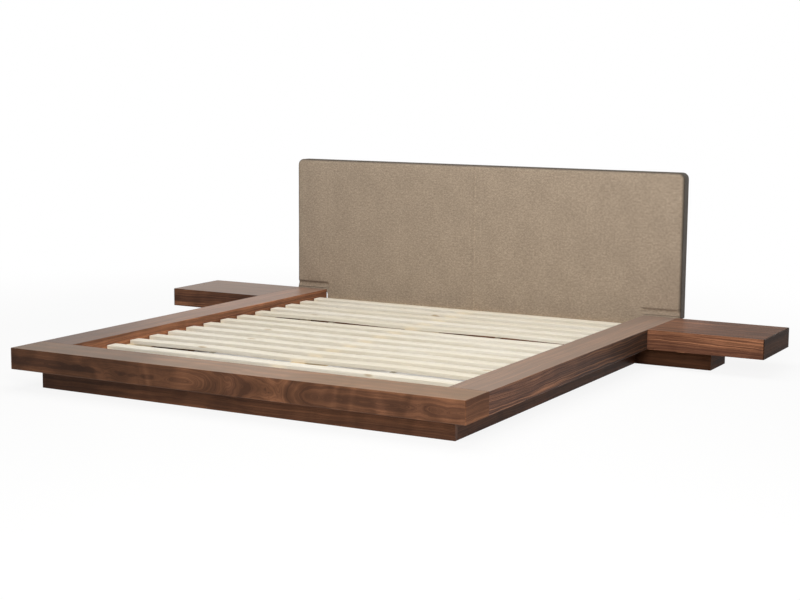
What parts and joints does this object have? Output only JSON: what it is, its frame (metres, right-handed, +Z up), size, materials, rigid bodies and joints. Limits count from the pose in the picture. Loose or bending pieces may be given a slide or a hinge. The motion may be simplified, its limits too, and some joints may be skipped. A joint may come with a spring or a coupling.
{
  "type": "platform bed",
  "caption": "Low platform bed with a slatted mattress well, thick box rails on a set-back plinth, side ledges as nightstands and a padded headboard.",
  "frame": {"origin": "on the floor, under the middle of the bed's overall box", "axes": "+X across the bed to the right as seen from its foot, +Y from the foot to the headboard, +Z up"},
  "size_m": [3.33, 2.413, 0.9],
  "materials": {
    "walnut_veneer": "satin lacquer over straight-grained walnut veneer",
    "walnut_plinth": "satin lacquer over dark walnut veneer",
    "slat_whitewood": "planed, unfinished",
    "frame_timber": "sawn and planed softwood, unfinished",
    "zinc_steel": "zinc plated",
    "headboard_weave": "coarse plain weave",
    "upholstery_foam": "open cell foam",
    "dust_cloth": "spun-bonded cloth",
    "webbing_tape": "narrow woven tape"
  },
  "bodies": {
    "bed_frame": {"beam_hangers": "zinc_steel", "centre_beam": "frame_timber", "foot_rail": "walnut_veneer", "foot_rail_caps": "walnut_veneer", "head_rail": "frame_timber", "head_rail_angles": "zinc_steel", "headboard_bolts": "zinc_steel", "headboard_bottom_rail": "frame_timber", "headboard_cover": "headboard_weave", "headboard_dust_cloth": "dust_cloth", "headboard_foam": "upholstery_foam", "headboard_front_board": "frame_timber", "headboard_posts": "frame_timber", "headboard_top_rail": "frame_timber", "headboard_wing_rails": "frame_timber", "headboard_wing_stiles": "frame_timber", "joint_plates": "zinc_steel", "leg_sockets": "zinc_steel", "nightstand_caps": "walnut_veneer", "nightstand_left": "walnut_veneer", "nightstand_plates": "zinc_steel", "nightstand_plinth_left_back": "walnut_plinth", "nightstand_plinth_left_end": "walnut_plinth", "nightstand_plinth_left_front": "walnut_plinth", "nightstand_plinth_right_back": "walnut_plinth", "nightstand_plinth_right_end": "walnut_plinth", "nightstand_plinth_right_front": "walnut_plinth", "nightstand_right": "walnut_veneer", "plinth_corner_blocks": "frame_timber", "plinth_foot_panel": "walnut_plinth", "plinth_head_panel": "walnut_plinth", "plinth_left_panel": "walnut_plinth", "plinth_right_panel": "walnut_plinth", "rail_ribs": "frame_timber", "side_cleat_left": "frame_timber", "side_cleat_right": "frame_timber", "side_rail_caps": "walnut_veneer", "side_rail_left": "walnut_veneer", "side_rail_right": "walnut_veneer", "slat_01": "slat_whitewood", "slat_02": "slat_whitewood", "slat_03": "slat_whitewood", "slat_04": "slat_whitewood", "slat_05": "slat_whitewood", "slat_06": "slat_whitewood", "slat_07": "slat_whitewood", "slat_08": "slat_whitewood", "slat_09": "slat_whitewood", "slat_10": "slat_whitewood", "slat_11": "slat_whitewood", "slat_12": "slat_whitewood", "slat_13": "slat_whitewood", "slat_14": "slat_whitewood", "slat_tapes": "webbing_tape", "steel_screws": "zinc_steel"},
    "leveller_1": {"levelling_foot_1": "zinc_steel"},
    "leveller_2": {"levelling_foot_2": "zinc_steel"},
    "leveller_3": {"levelling_foot_3": "zinc_steel"}
  },
  "joints": [
    {"name": "leveller_1_travel", "type": "slide", "parent": "bed_frame", "child": "leveller_1", "axis": [0, 0, 1], "range_m": [0, 0.012]},
    {"name": "leveller_2_travel", "type": "slide", "parent": "bed_frame", "child": "leveller_2", "axis": [0, 0, 1], "range_m": [0, 0.012]},
    {"name": "leveller_3_travel", "type": "slide", "parent": "bed_frame", "child": "leveller_3", "axis": [0, 0, 1], "range_m": [0, 0.012]}
  ]
}
